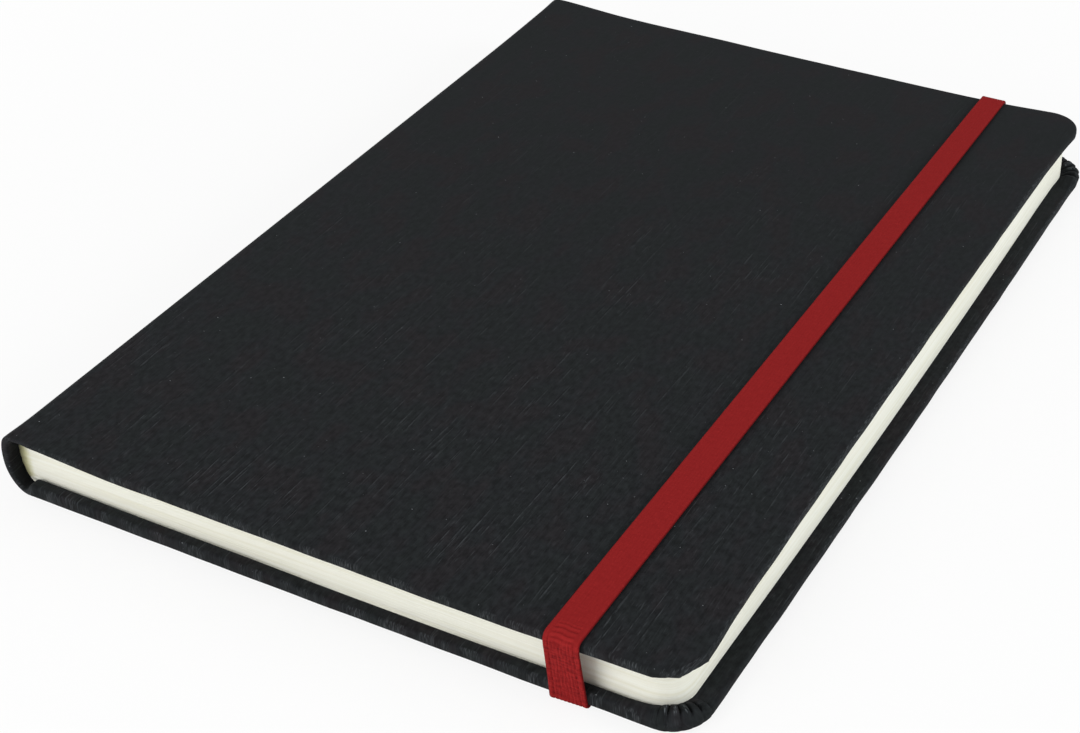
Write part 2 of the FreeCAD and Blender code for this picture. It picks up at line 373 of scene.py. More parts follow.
# Noises as a size in millimetres, a detail and a roughness
endpaperLook = {
    "colours": ((0.35, "#EAE8DA"), (0.6, "#EFEFE4")),
    "clouds": (9.0, 5.0, 0.6),
    "tooth": (0.7, 3.0, 0.5),
    "relief": (0.4, 0.03),
    "finish": {"Roughness": 0.85, "Specular IOR Level": 0.35},
}
boardLook = {
    "colours": ((0.35, "#857F74"), (0.62, "#A39E93")),
    "clouds": (1.2, 5.0, 0.7),
    "tooth": (1.2, 5.0, 0.7),
    "relief": (0.5, 0.05),
    "finish": {"Roughness": 0.9, "Specular IOR Level": 0.3},
}


# Fibre pressed into a sheet. Endpapers are smooth uncoated cream paper, with the soft cloudiness of its
# fibres and a very fine tooth. Binder's board and spine card are grey pulp, with pale and dark fibres.
def pressedFibre(name, look):
    material, tree = newMaterial(name)
    place = (addNode(tree, "TexCoord"), "Object")
    noises = []
    for size, detail, rough in (look["clouds"], look["tooth"]):
        grain = {"Scale": 1 / (size * mm), "Detail": detail, "Roughness": rough}
        noises.append(addNode(tree, "TexNoise", grain, {"Vector": place}))
    colour = addNode(tree, "ValToRGB", {"stops": look["colours"]}, {"Fac": noises[0]})
    finishSurface(tree, look, colour, noises[1])
    return material


mullLook = {
    "colours": ((0.55, "#B9AF95"), (0.85, "#DAD4C2")),  # between the threads, and on them
    "meshMm": 1.1,
    "waveLong": 0.314,  # how long a wave of scale 1 is
    "uneven": 0.4,
    "relief": (0.7, 0.1),
    "finish": {"Roughness": 0.8, "Specular IOR Level": 0.35},
}


# Mull: open cotton gauze stiffened with glue, its threads about a millimetre apart each way
def gauze():
    look = mullLook
    material, tree = newMaterial("MullCottonGauze")
    place = (addNode(tree, "TexCoord"), "Object")
    threads = {}
    for i, way in enumerate("YZ"):
        wave = {"wave_type": "BANDS", "bands_direction": way, "Distortion": look["uneven"]}
        wave["Scale"] = look["waveLong"] / (look["meshMm"] * mm)
        threads[i] = (addNode(tree, "TexWave", wave, {"Vector": place}), "Fac")
    net = addNode(tree, "Math", {"operation": "MAXIMUM"}, threads)
    colour = addNode(tree, "ValToRGB", {"stops": look["colours"]}, {"Fac": net})
    finishSurface(tree, look, colour, net)
    return material


elasticLook = {
    "colours": ((0.2, "#5E0E11"), (0.5, "#7F191A"), (0.75, "#952323")),
    # As for the cloth. The real weft is 0.3 mm apart and is drawn a little coarser so that it shows.
    "patterns": {
        "yarn": (0.3, 1.6, 2.0, 0.0), "weft": (2.4, 0.42, 2.0, 0.0), "specks": (0.4, 0.5, 1.0, 0.0),
    },
    "cuts": {"specks": (0.68, 0.8)},
    "sums": (
        ("both", "ADD", "yarn", "weft"),
        ("rough", "SUBTRACT", "both", 1.0),
        ("shown", "MULTIPLY_ADD", "slack", 1.1, 0.3),
        ("fibres", "MULTIPLY", "rough", "shown"),
        # painted shade: darker where the band's surface is lower, lighter on the ribs and the wrinkles'
        # crests
        ("ribbed", "MULTIPLY_ADD", "ribs", 0.26, 0.34),
        ("tone", "MULTIPLY_ADD", "fibres", 0.5, "ribbed"),
        ("flecked", "MULTIPLY_ADD", "specks", 0.16, "tone"),
        ("height", "MULTIPLY", "both", "shown"),
    ),
    "relief": (0.5, 0.09),
    "finish": {
        "Roughness": 0.75, "Specular IOR Level": 0.06, "Sheen Weight": 0.06, "Sheen Roughness": 0.4,
        "Sheen Tint": linear("#A03030"),
    },
}


# Elastic: dyed polyester woven round covered rubber. Ribs run along it, fine weft crosses them and shows
# where the band is slack, and the yarn has a soft sheen of its own red. Its colour carries painted shade by
# its relief: darker in the ribs' grooves, at the seams and in the wrinkles' troughs.
def wovenElastic():
    look = elasticLook
    material, tree = newMaterial("WovenElasticRed")
    value = {}
    kept = {"place": ("bandPlace", "Vector"), "ribs": ("ribHeight", "Fac"), "slack": ("slack", "Fac")}
    for key, (name, output) in kept.items():
        value[key] = (addNode(tree, "Attribute", {"attribute_name": name}), output)
    weave(tree, look, value)
    colour = addNode(tree, "ValToRGB", {"stops": look["colours"]}, {"Fac": value["flecked"]})
    finishSurface(tree, look, colour, value["height"])
    return material


cloth, leafPaper, mull, elastic = bookCloth(), leafEdges(), gauze(), wovenElastic()
endpaper, board = pressedFibre("EndpaperUncoated", endpaperLook), pressedFibre("PulpBoardGrey", boardLook)
print("materials made")


spineLow, spineHigh = corners("spine_cloth")
spineLine = corners("front_flyleaf")[0][0]  # where the flat covers run out into the spine
midZ = (spineLow[2] + spineHigh[2]) / 2
frontLow, frontHigh = corners("front_cloth")
backLow, backHigh = corners("back_cloth")
halfThick = (frontHigh[2] - backLow[2]) / 2
bulge = spineLine - spineLow[0]

caseValues = {
    "cornerRadius": 8.3,
    "sharpest": 0.3,  # a corner's radius where the cloth is turned in far
    "rounding": 0.55,  # of the cloth over a board's edge
    "cloth": 0.35,
    "coverThick": 2.15,
    "jointThick": 0.7,  # two layers of cloth, with no board between them
    # The next six are pairs: from where, and over how much, something eases in or fades out
    "boardEdge": (-1.5, 1.1),  # the joint becomes cover, by the board's spine edge
    "standEdge": (2.45, 0.4),  # the cloth that stands up in front of the leaves, from the cover's edge
    "spineEases": (62, 26),  # the spine's thickness, in degrees from its middle
    "turnedEdge": (0.15, 0.8),  # pleats and heaps, in from the edge
    "pleatReach": (2.6, 1.6),  # pleats again, as they fade
    "hollowShadeEase": (0.6, 1.2),  # painted shade on the turned-in cloth inside the spine's ends
    "spineThick": 1.0,  # two layers of cloth round the card
    "spineRim": (0.35, 5.0),  # how much thicker at the very ends, and over how much it fades
    "turnIn": 12.0,
    "flare": (0.5, 4.5),  # outwards at the spine's ends, where cloth is turned in round the card; its reach
    "bowReach": 95.0,  # from the middle of a cover to where its fore edge bows no more
    "waver": 0.06,  # of the edges, from hand turning
    "pleatFrom": (0.06, 0.25, 0.42, 0.6, 0.79, 0.95),  # where a corner's pleats start, as shares of its arc
    "pleatFall": 0.5,  # share of its height that a pleat loses towards the next
    "pleatBulge": 0.5,  # how much of a pleat's height the edge moves out by
    "groove": 0.2,
    "grooveWide": 0.15,  # as a share of its pleat
    "slitDip": (0.22, 1.1),  # how far the cloth dips round a slit, and its reach
    "step": 3.0,
    "jointLines": np.arange(-73.5, -66, 0.6),
    "slitLines": ((-0.6, 0, 0.6), (-1.6, -1, -0.5, 0.5, 1, 1.6)),  # beside a slit's ends and along it
    "slitHalf": 0.5,
    "rings": (0.55, 0.8, 1.1, 1.5, 1.9, 2.3, 2.6, 2.9, 3.4, 4.0, 4.8, 6, 8, 10, 11.4, 12.0),  # turned in
    "inside": 0.7,  # painted shade: how much darker the turned-in cloth inside the spine's ends is drawn, as that hollow lies in shadow
    "fluff": (2.2, 0.7, 2.7),  # of the threads that stand out on the pleats, and between which rings
    "frayed": (0.1, 0.6, 0.45),  # from where to where on a pleat, and from where on the corner's arc
    # painted shade in the pleats' grooves, taken off the wear attribute
    "paintedGrooveShade": 1.3,
}

# Turned, cut and glued by hand, each cover is a little out of true. turn is an angle in radians about the
# spine; slant and bow move the fore edge; a pull is a place, its reach, and how far the case is moved there
# in x, y and z; facets are directions in degrees round a fore corner, from the fore edge, each with the
# outline's offset. The cover is thinnest at the first x of thin and full at the second. stands are places
# along x, with the height of the turned-in cloth in front of the leaves. A heap of cloth inside a corner is
# a place, its reach and its height. A slit is its y and its two ends in x.
plain = ((0, 0.0), (90, 0.0))
covers = {
    "front": {
        "way": 1, "fore": frontHigh[0], "tail": frontLow[1], "head": frontHigh[1],
        "boardX": corners("front_board")[0][0], "thin": (-72.5, -47.0), "thinnest": 0.95,
        "slits": (), "stands": (), "heaps": (), "flareFade": 1.0,
        "turn": 0.0045, "slant": -0.0045, "bow": -0.4,
        "pulls": (
            (76, 108, 12, 0.8, 0.6, 0.8), (78, 103, 5, 0.4, 0.3, 0.0), (-76, 109, 14, 0.0, 1.3, 0.6),
            (-30, 109, 14, 0.0, 0.45, 0.0), (78, -102, 7, 0.6, 0.0, 0.0), (-20, -110, 55, 0.0, -0.5, 0.0),
            (33, -110, 24, 0.0, -0.65, 0.0),
        ),
        "facets": {"tail": ((0, 0.0), (3, 0.1), (47, 0.3), (77, 0.1), (90, 0.0)), "head": plain},
        "pleats": {"tail": 0.3, "head": 0.25},
    },
    "back": {
        "way": -1, "fore": backHigh[0], "tail": backLow[1], "head": backHigh[1],
        "boardX": corners("back_board")[0][0], "thin": (-69.0, -66.0), "thinnest": 2.15,
        "slits": ((-93.45, 49.075, 56.475), (94.55, 49.075, 56.475)),
        "stands": (
            (-74.2, 1.5), (-73.3, 2.9), (-72.3, 3.3), (-62, 3.2), (-45, 3.05), (-20, 3.05),
            (2, 2.55), (20, 2.55), (45, 3.0), (60, 3.15), (68, 2.8), (76, 2.15),
        ),
        "heaps": ((75.0, -106.6, 3.7, 1.6), (69.6, -107.5, 3.2, 0.6)), "flareFade": 2.5,
        "turn": 0.0, "slant": 0.0, "bow": 0.0,
        "pulls": (
            (79, 20, 45, 0.35, 0.0, 0.0), (75, 111, 9, 0.1, 2.8, 0.0), (78, 108, 4, 0.15, 0.3, 0.2),
            (79, -98, 17, -0.17, 0.0, 0.0), (-30, -109, 60, 0.0, -0.25, 0.0),
            (40, -109, 60, 0.0, -0.12, 0.0),
        ),
        "facets": {"tail": plain, "head": plain},
        "pleats": {"tail": 0.85, "head": 1.1},
    },
}


# Thickness of a cover at x, so far in from its tail or head: the joint's two cloths, then the board as
# well, less what the ends are pressed near the spine, which eases off over the turned-in cloth, or where
# more, the cloth that stands up in front of the leaves
def coverThick(cover, x, inward):
    case = caseValues
    past, over = case["boardEdge"]
    low, high = cover["thin"]
    full = mixed(case["jointThick"], case["coverThick"], ease(x, cover["boardX"] + past, over))
    thin = mixed(cover["thinnest"], case["coverThick"], ease(x, low, high - low))
    full = full - np.maximum(full - thin, 0) * (1 - ease(inward, 0, case["turnIn"]))
    if cover["stands"]:
        stands = np.interp(x, *np.array(cover["stands"]).T)
        full = np.maximum(full, mixed(stands, full, ease(inward, *case["standEdge"])))
    return full


# How far a cover is out of true at x, y, as moves in x, y and z: a slant, a parabola and a turn that grow
# towards the fore edge, and a bell curve for each pull
def outOfTrue(cover, x, y):
    out = np.clip(x - spineLine, 0, None)
    far = out / (cover["fore"] - spineLine)
    moveX = far * (cover["slant"] * y + cover["bow"] * arch(y, caseValues["bowReach"]))
    moveY, lift = cover["turn"] * out, 0 * y
    for atX, atY, reach, pullX, pullY, pullZ in cover["pulls"]:
        near = bell(x, y, atX, atY, reach)
        moveX, moveY, lift = moveX + pullX * near, moveY + pullY * near, lift + pullZ * near
    return moveX, moveY, lift


# How high the gathered cloth is heaped inside a corner at x, y: a bell curve for each heap
def heapHigh(cover, x, y):
    return 0 * x + sum(most * bell(x, y, atX, atY, reach) for atX, atY, reach, most in cover["heaps"])


# Positions along a cover's section and across it. Round the spine they are angles on the ellipse,
# and on the flat they are shares of the straight run and then of the corner.
def sectionLines(cover):
    case = caseValues
    e = case["rounding"]
    r = case["cornerRadius"] - e
    beside, along = case["slitLines"]
    slitX = [x + d for _, *ends in cover["slits"] for x in ends for d in beside]
    slitY = [y + d for y, _, _ in cover["slits"] for d in along]
    flat = lines(spineLine, cover["fore"] - e - r, case["step"], [*case["jointLines"], *slitX])[1:]
    run = lines(cover["tail"] + e + r, cover["head"] - e - r, case["step"], slitY)
    return {
        "angle": np.linspace(0, quarter, 49),
        "flat": (flat - spineLine) / (cover["fore"] - e - r - spineLine),
        "bow": np.linspace(0, 1, 31)[1:],
        "run": (run - run[0]) / (run[-1] - run[0]),
    }


# A corner with facets: the outline is the polygon through points at each facet's direction, set off from
# the arc, by the chord formula r = ri rj sin(aj - ai) / (ri sin(a - ai) + rj sin(aj - a)); the move fades
# towards the corner's centre as the square of the distance
def cutFacets(cover, x, y, fore, tail, head, r):
    full = caseValues["cornerRadius"]
    for end, edge, way in (("tail", tail, -1), ("head", head, 1)):
        directions, offs = np.array(cover["facets"][end], float).T
        if len(directions) < 3:
            continue
        directions, radii = np.radians(directions), full + offs
        a, b = x - fore + r, way * (y - edge) + r
        inside = (a > 0) & (b > 0)
        reach = np.hypot(a, b)
        turn = np.where(inside, np.arctan2(b, np.maximum(a, tiny)), 0)
        i = np.clip(np.searchsorted(directions, turn, side="right") - 1, 0, len(directions) - 2)
        first, last, low, high = directions[i], directions[i + 1], radii[i], radii[i + 1]
        chord = low * high * np.sin(last - first) / (low * np.sin(turn - first) + high * np.sin(last - turn))
        grow = (chord - full) * (reach / r) ** 2 * min(1, r / full) / np.maximum(reach, tiny)
        x = np.where(inside, x + a * grow, x)
        y = np.where(inside, y + way * b * grow, y)
    return x, y


# The case's surface for one cover, as x, y, height above the book's middle, and length along the section.
# Round the spine: x = -bulge cos(angle), height = half thickness sin(angle), moved in along the normal by
# depth, and out by the flare, a bell curve from the spine's ends. On the flat: a grid with rounded fore
# corners. The outline is drawn in by inset.
def caseGrid(cover, at, inset, depth):
    case, angle = caseValues, at["angle"]
    n = len(angle)
    r = max(case["cornerRadius"] - inset, case["sharpest"])
    fore = cover["fore"] - inset
    normal = np.stack([-np.cos(angle) / bulge, np.sin(angle) / halfThick])
    normal /= np.linalg.norm(normal, axis=0)
    section = np.column_stack([spineLine - bulge * np.cos(angle), halfThick * np.sin(angle)])
    length = lengthAlong(section)
    flatX = np.append(mixed(spineLine, fore - r, at["flat"]), fore - r + r * at["bow"])
    flat = np.ones(len(flatX))
    share = np.append(ease(angle, 0, quarter), flat)[:, None]
    tail = mixed(spineLow[1], cover["tail"], share) + inset
    head = mixed(spineHigh[1], cover["head"], share) - inset
    bow = r * np.append(0, at["bow"])
    y = np.concatenate([tail + bow, mixed(tail + r, head - r, at["run"][1:-1]), head - r + bow], axis=1)
    x = np.append(section[:, 0], flatX)[:, None] + 0 * y
    h = np.append(section[:, 1], halfThick * flat)[:, None] + 0 * y
    corner = (fore, tail[-1, 0], head[-1, 0], r)
    x[n:], y[n:] = cutFacets(cover, *roundCorners(x[n:], y[n:], *corner), *corner)
    along = x - spineLine + length[-1]
    along[:n] = length[:, None]
    out = -depth + 0 * y
    flare, reach = case["flare"]
    toEnd = np.minimum(y - spineLow[1], spineHigh[1] - y)[:n]
    flared = flare * np.exp(-((toEnd / reach) ** 2)) * np.cos(angle)[:, None] ** cover["flareFade"]
    out[:n] += flared * (1 - np.clip(-out[:n] / case["spineThick"], 0, 1))
    x[:n] += normal[0][:, None] * out[:n]
    h += np.append(normal[1], flat)[:, None] * out
    moveX, moveY, lift = outOfTrue(cover, x, y)
    return np.stack([x + moveX * share, y + moveY * share, h + cover["way"] * lift * share, along], -1)


# Round a fore corner the turned-in cloth lies in pleats: each is a ridge that falls a little towards the
# next, with a groove between them as a narrow bell curve. Gives the pleats' size, ridge and groove at an
# outline's points, and where loose threads stand out.
def cornerPleats(cover, outer):
    case = caseValues
    arc = case["cornerRadius"]
    a = outer[:, 0] - (cover["fore"] - arc)
    b = np.maximum(cover["tail"] + arc - outer[:, 1], outer[:, 1] - cover["head"] + arc)
    turned = np.where((a > 0) & (b > 0), np.arctan2(b, np.maximum(a, tiny)) / quarter, 0)
    starts = np.array(case["pleatFrom"])
    pleat = np.clip(np.searchsorted(starts, turned, side="right") - 1, 0, len(starts) - 2)
    across = (turned - starts[pleat]) / (starts[pleat + 1] - starts[pleat])
    within = (turned > starts[0]) & (turned < starts[-1])
    groove = np.exp(-((np.minimum(np.abs(across), np.abs(1 - across)) / case["grooveWide"]) ** 2)) * within
    size = np.where(outer[:, 1] < 0, cover["pleats"]["tail"], cover["pleats"]["head"]) * within
    ridge = size * (1 - case["pleatFall"] * across) * (1 - groove)
    first, last, begins = case["frayed"]
    frayed = (across > first) * (across < last) * within * (turned > begins)
    return size, ridge, groove, frayed


# Cloth of one cover, from the middle of the spine to the fore edge and turned in round the board. Rim
# rings go round a half turn of the rounding and then inwards. The edge wavers by a sum of sines of the
# length along it.
def caseCloth(name, side):
    case, cover = caseValues, covers[side]
    at = sectionLines(cover)
    e = case["rounding"]
    top = caseGrid(cover, at, e, 0.0)
    dip, reach = case["slitDip"]
    for y, x0, x1 in cover["slits"]:
        off = np.clip(np.abs(top[..., 0] - (x0 + x1) / 2) - (x1 - x0) / 2, 0, None)
        top[..., 2] -= dip * np.exp(-((np.hypot(off, top[..., 1] - y) / reach) ** 2))
    flatStart = len(at["angle"])
    edgeX = np.append(np.full(flatStart, spineLine), top[flatStart:, 0, 0])[:, None]
    angle = np.append(at["angle"], np.full(len(edgeX) - flatStart, quarter))[:, None]
    stiff = 1 - ease(np.degrees(angle), *case["spineEases"])

    outer = border(caseGrid(cover, at, 0.0, 0.0))
    outward = (outer - border(caseGrid(cover, at, 0.5, 0.0)))[:, :2]
    outward[:, 0] *= outer[:, 0] > spineLine
    outward /= np.linalg.norm(outward, axis=1)[:, None]
    size, ridge, groove, frayed = cornerPleats(cover, outer)
    s = lengthAlong(outer[:, :2])
    waver = case["waver"] * (np.sin(s / 5.3) * np.sin(s / 11.7 + 1) + 0.6 * np.sin(s / 2.3 + np.sin(s / 7)))

    base, rim = border(top), border(stiff + 0 * top[..., 0])
    rings, places, wearAndShadeRings = [], [], []
    turns = np.radians((22.5, 45, 67.5, 90, 90, 112.5, 135, 157.5))
    halfTurn = [(t, i > 3, e * (1 - math.sin(t))) for i, t in enumerate(turns)]
    thicker, fades = case["spineRim"]
    keeps, fading = case["pleatReach"]
    fluff, fluffFrom, fluffTo = case["fluff"]
    for turn, lower, inset in halfTurn + [(math.pi, True, inset) for inset in case["rings"]]:
        spineThick = case["spineThick"] + thicker * (1 - ease(inset, 0, fades))
        thick = mixed(coverThick(cover, edgeX, inset), spineThick, stiff)
        rise = np.minimum(e, thick / 2)
        depth = thick - rise * (1 + math.cos(turn)) if lower else rise * (1 - math.cos(turn))
        ring = border(caseGrid(cover, at, inset, depth))
        turnedIn = ease(inset, *case["turnedEdge"]) * lower
        window = turnedIn * (1 - ease(inset, keeps, fading))
        heaped = heapHigh(cover, ring[:, 0], ring[:, 1]) * turnedIn
        ring[:, 2] -= (ridge - case["groove"] * groove) * window + heaped
        bulged = case["pleatBulge"] * (ridge - 0.2 * size) * (1.0 if lower else 0.3)
        push = (waver + bulged) * math.sin(turn) * (ring[:, 0] > spineLine)
        ring[:, :2] += outward * push[:, None]
        rings.append(ring)
        places.append(base[:, [3, 1]] + outward * (e * turn + lower + max(0, inset - e)))
        worn = math.sin(turn) ** 0.5 * (turn < 3.1) * (1 - groove * window)
        fluffy = fluff * frayed * (fluffFrom < inset < fluffTo) * lower
        # Painted shade, taken off the wear: inside the spine's ends, and in the pleats' grooves
        inside = case["inside"] * lower * ease(inset, *case["hollowShadeEase"]) * rim
        wearAndShadeRings.append(worn - case["paintedGrooveShade"] * groove * window + fluffy - inside)

    middle = (top[:-1, :-1, :2] + top[1:, 1:, :2]) / 2
    hole = np.zeros(middle.shape[:2], bool)
    for y, x0, x1 in cover["slits"]:
        over = (middle[..., 0] > x0) & (middle[..., 0] < x1)
        hole |= over & (np.abs(middle[..., 1] - y) < case["slitHalf"])
    points, faces = slab(top, rings, hole=hole)
    place = np.concatenate([top[..., [3, 1]].reshape(-1, 2), *places])
    place = np.column_stack([place, np.zeros(len(place))])
    rub = np.concatenate([np.zeros(top.shape[0] * top.shape[1]), *wearAndShadeRings])
    points = np.column_stack([points[:, :2], midZ + cover["way"] * points[:, 2]])
    if side == "back":
        place += (311.0, 57.0, 0)  # another length of the same cloth
    piece = putMesh(name, points, faces, cloth, {"clothPlace": place, "rubbed": rub}, flip=cover["way"] < 0)
    wall = piece.modifiers.new("ClothThickness", "SOLIDIFY")
    wall.thickness, wall.offset = case["cloth"] * mm, -1
    return piece


foldValues = {
    "degrees": 57.9,  # on the spine's ellipse, where a cover's hinge line lies over it
    "before": 0.65,  # how far before and after the fold the points handed to bend lie
    "after": 1.2,
}


# Works out the two points, from the text block to its cover, where a piece would bend over, the front's the
# other way about, because at exactly half a turn only the order says which way round it goes. It does not
# use them: it only bakes the piece's transform into its mesh.
def bend(piece, side, start, end):
    way = covers[side]["way"]
    order = [("text_block", start), (side + "_cover", end)][::way * -1]
    (first, a), (last, b) = order
    a, b = (Vector((x, 0, midZ + way * h)) * mm for x, h in (a, b))
    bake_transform(piece)


# Works out points along the tangent of the cloth's section, from just before the fold to just after it, and
# hands them to bend
def bendAtFold(piece, side):
    a = math.radians(foldValues["degrees"])
    fold = np.array([spineLine - bulge * math.cos(a), halfThick * math.sin(a)])
    tangent = np.array([bulge * math.sin(a), halfThick * math.cos(a)])
    tangent /= np.linalg.norm(tangent)
    bend(piece, side, fold - foldValues["before"] * tangent, fold + foldValues["after"] * tangent)


frontCase = caseCloth("frontCase", "front")
backCase = caseCloth("backCase", "back")
bendAtFold(frontCase, "front")
bendAtFold(backCase, "back")
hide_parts("front_cloth", "spine_cloth")
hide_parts("back_cloth")
print("case cloth made")

boardValues = {
    "steps": (4.0, 5.0),
    "least": 0.2,  # thickness left where the front's ends are pressed
}


# Front board: a flat plate with rounded fore corners, pressed thinner at its ends near the spine
def frontBoard():
    case, cover = caseValues, covers["front"]
    low, high = corners("front_board")
    r = case["cornerRadius"] - case["cloth"]
    stepX, stepY = boardValues["steps"]
    x, y = cornered(low[0], high[0], r, stepX), cornered(low[1], high[1], r, stepY, both=True)
    corner = (high[0], low[1], high[1], r)
    x, y = cutFacets(cover, *roundCorners(*np.meshgrid(x, y, indexing="ij"), *corner), *corner)
    ends = np.minimum(y - cover["tail"], cover["head"] - y)
    under = frontHigh[2] - coverThick(cover, x, ends) + case["cloth"]
    under = np.minimum(under, high[2] - boardValues["least"])
    moveX, moveY, lift = outOfTrue(cover, x, y)
    x, y = x + moveX, y + moveY
    top, bottom = np.stack([x, y, high[2] + lift], -1), np.stack([x, y, under + lift], -1)
    return putMesh("frontBoard", *slab(top, [], bottom, closed=True), board)


boardPiece = frontBoard()
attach(boardPiece, "front_cover")
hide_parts("front_board")

for name, material in (("back_board", board), ("spine_inlay", board), ("spine_mull", mull)):
    nodes[name].data.materials.clear()
    nodes[name].data.materials.append(material)
print("boards made")


blockLow, blockHigh = corners("page_block")

blockValues = {
    "cornerRadius": 7.5,
    "leaves": 38,
    "lines": (44, 60),  # grid lines along and across the page, between its corners
    "seed": 4,
    "crease": 0.035,  # how far the cut edges are rounded in between two leaves
    "wander": 0.016,  # of a leaf's edge from the trimmed face
    "proud": 0.02,
    "sections": 5,  # folded sections sewn through the spine
    "scallop": 0.16,
    "scalloped": 0.75,  # share of the back's height
    "roundX": 2.8,
    "roundH": 6.65,
    "swell": 0.82,  # of the fore edge half way up the page
    "swellReach": 98.0,
    "corners": {"tail": 0.6, "head": 1.7},  # how much fuller the fore corners are cut
    "cornerIn": 2.0,  # from the page's edges to the middle of that bell curve
    "cornerReach": 2.7386,
}


# The leaves' fore edge swells along its length as a parabola, fading to nothing at the middle of the page,
# and the fore corners are fuller by a bell curve round each
def swollen(x, y):
    v = blockValues
    far = np.clip(x / blockHigh[0], 0, None)
    end = np.minimum(y - blockLow[1], blockHigh[1] - y)
    corner = np.where(y < 0, v["corners"]["tail"], v["corners"]["head"])
    full = corner * bell(x, end, blockHigh[0] - v["cornerIn"], v["cornerIn"], v["cornerReach"])
    return x + v["swell"] * far * arch(y, v["swellReach"]) + full, y + np.sign(y) * full


# The sewn leaves: outline rings stacked leaf by leaf, each leaf two rings at its edge and one in the
# crease below. The back is half an ellipse, x = -roundX times the root of (1 - (height / roundH)
# squared), scalloped by the sections, and each leaf's edge wanders as two sines of the length round it.
def pageBlock():
    v = blockValues
    r = v["cornerRadius"]
    fore, tail, head = blockHigh[0], blockLow[1], blockHigh[1]
    linesX, linesY = v["lines"]
    across = cornered(tail, head, r, (head - tail - 2 * r) / linesY, both=True)
    random = np.random.default_rng(v["seed"])
    phases = random.uniform(0, 2 * math.pi, (v["leaves"], 2))
    sizes = random.uniform(-1, 1, v["leaves"])

    def outline(z, inset, wave=0.0):
        h = (z - midZ) / v["roundH"]
        level = (z - blockLow[2]) / (blockHigh[2] - blockLow[2])
        folds = 1 - abs(math.sin(math.pi * level * v["sections"])) ** 0.5
        scallop = v["scallop"] * folds * (abs(h) < v["scalloped"])
        back = spineLine - v["roundX"] * math.sqrt(max(0, 1 - h * h)) + scallop
        x = cornered(back, fore, r, (fore - r - back) / linesX)
        x, y = roundCorners(*np.meshgrid(x, across, indexing="ij"), fore, tail, head, r)
        grid = np.stack([*swollen(x, y), 0 * x + z], -1)
        loop = border(grid, True)
        off = loop[:, :2] - ((back + fore) / 2, (tail + head) / 2)
        off /= ((fore - back) / 2, (head - tail) / 2)
        push = np.where(np.abs(off) > 0.9, np.sign(off), 0)
        loop[:, :2] -= push * np.reshape(inset + wave, (-1, 1))
        return grid, loop

    thick = (blockHigh[2] - blockLow[2]) / v["leaves"]
    top, loop = outline(blockHigh[2], 0.0)
    s = lengthAlong(loop[:, :2])
    rings = []
    for leaf in range(v["leaves"]):
        z = blockHigh[2] - leaf * thick
        first, second = phases[leaf]
        sines = 0.35 * np.sin(s / 31 + first) + 0.25 * np.sin(s / 9 + second)
        wave = v["proud"] + v["wander"] * (0.5 * sizes[leaf] + sines)
        for share, inset in ((0.12, 0.0), (0.85, 0.0), (1.0, v["crease"])):
            if leaf < v["leaves"] - 1 or share < 1:
                rings.append(outline(z - thick * share, inset, wave)[1])
    bottom, _ = outline(blockLow[2], 0.0)
    return putMesh("pageBlock", *slab(top, rings, bottom, closed=True), leafPaper)


block = pageBlock()
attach(block, "text_block")
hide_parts("page_block")
print("page block made")

paperValues = {
    "thick": 0.15,
    "cornerRadius": 7.5,
    "step": 8.0,
    "fineStep": 4.0,
    "shoulder": 1.15,  # depth of the fold under the cloth of the spine's shoulder
    "joint": 0.86,  # depth where it crosses the joint
    "over": 0.01,  # over the board
    "foldX": -75.7,  # where flyleaf and pastedown meet, on the block's shoulder
    "foldGap": (0.04, 5.53),  # the pastedown's edge past it, and above the book's middle
    "curl": (59.5, 88, 18),  # degrees on the spine's ellipse, and how many lines
    "jointLines": np.arange(-73.6, -65.5, 0.5),
    "clothLines": (np.arange(-1.1, 0, 0.3), np.arange(-0.4, 1.2, 0.3)),  # by the turned-in cloth's edge
    "bandLines": (-17, -16.4, -15.8, -0.6, 0, 0.6, 15.8, 16.4, 17),
    "boardEdge": (-2.5, 1.5),  # from where, and over how much, the paper climbs on the board
    "clothEdge": (0.15, 0.9),  # the same for the turned-in cloth
    "bandEdge": (-0.4, 0.8),  # and for the band's glued ends
    "bandHigh": 0.1,
    "bandLong": 16.4,
    "easeOff": (2.0, 3.0),  # over which the shoulder becomes the joint, and the cover's moves begin
    "bend": ((-75.75, 5.55), 75, 1.3),  # where it begins, and its direction in degrees and its length
}


# Flyleaf: a flat sheet on the block, a little longer at the spine than the block's flat, with rounded
# fore corners
def flyleaf(name, side):
    v, way = paperValues, covers[side]["way"]
    low, high = corners(side + "_flyleaf")
    r, step = v["cornerRadius"], v["step"]
    x, y = cornered(v["foldX"], high[0], r, step), cornered(low[1], high[1], r, step, both=True)
    x, y = roundCorners(*np.meshgrid(x, y, indexing="ij"), high[0], low[1], high[1], r)
    x, y = swollen(x, y)
    top, bottom = (np.stack([x, y, 0 * x + z], -1) for z in (high[2], low[2])[::way])
    piece = putMesh(name, *slab(top, [], bottom, closed=True), endpaper, flip=way < 0)
    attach(piece, "text_block")
    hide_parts(side + "_flyleaf")


